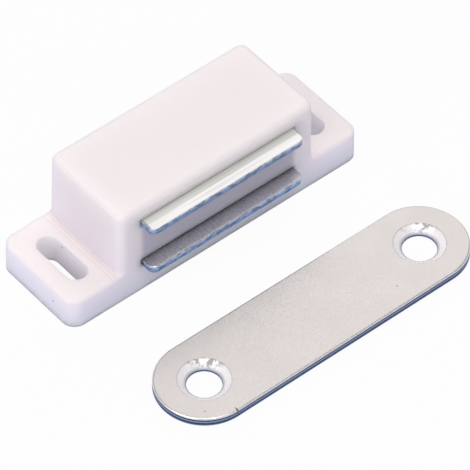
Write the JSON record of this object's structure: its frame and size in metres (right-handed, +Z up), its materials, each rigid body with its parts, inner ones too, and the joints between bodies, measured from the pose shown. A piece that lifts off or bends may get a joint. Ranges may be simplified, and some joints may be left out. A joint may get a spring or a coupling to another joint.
{
  "type": "magnetic catch",
  "caption": "Magnetic cabinet catch: slotted-ear plastic housing, magnet between steel pole plates that float in a pocket, and a separate countersunk strike plate.",
  "frame": {"origin": "centre of the housing's flat mounting face", "axes": "+X along the catch from ear to ear, -Y out of the wall that the pole plates stand out of, +Z up from the mounting face"},
  "size_m": [0.0475, 0.0371, 0.0144],
  "materials": {
    "housing_plastic": "milky white moulded plastic, soft gloss",
    "pole_steel": "bright zinc plate",
    "ferrite": "dark grey sintered ferrite, matt",
    "strike_steel": "satin zinc or nickel plate, bright in the countersinks"
  },
  "bodies": {
    "catch_body": {"housing": "housing_plastic", "strike_plate": "strike_steel"},
    "magnet_pack": {"upper_pole_plate": "pole_steel", "lower_pole_plate": "pole_steel", "magnet": "ferrite"}
  },
  "joints": [
    {"name": "magnet_float", "type": "slide", "parent": "catch_body", "child": "magnet_pack", "axis": [0, 1, 0], "range_m": [0, 0.0006]}
  ]
}
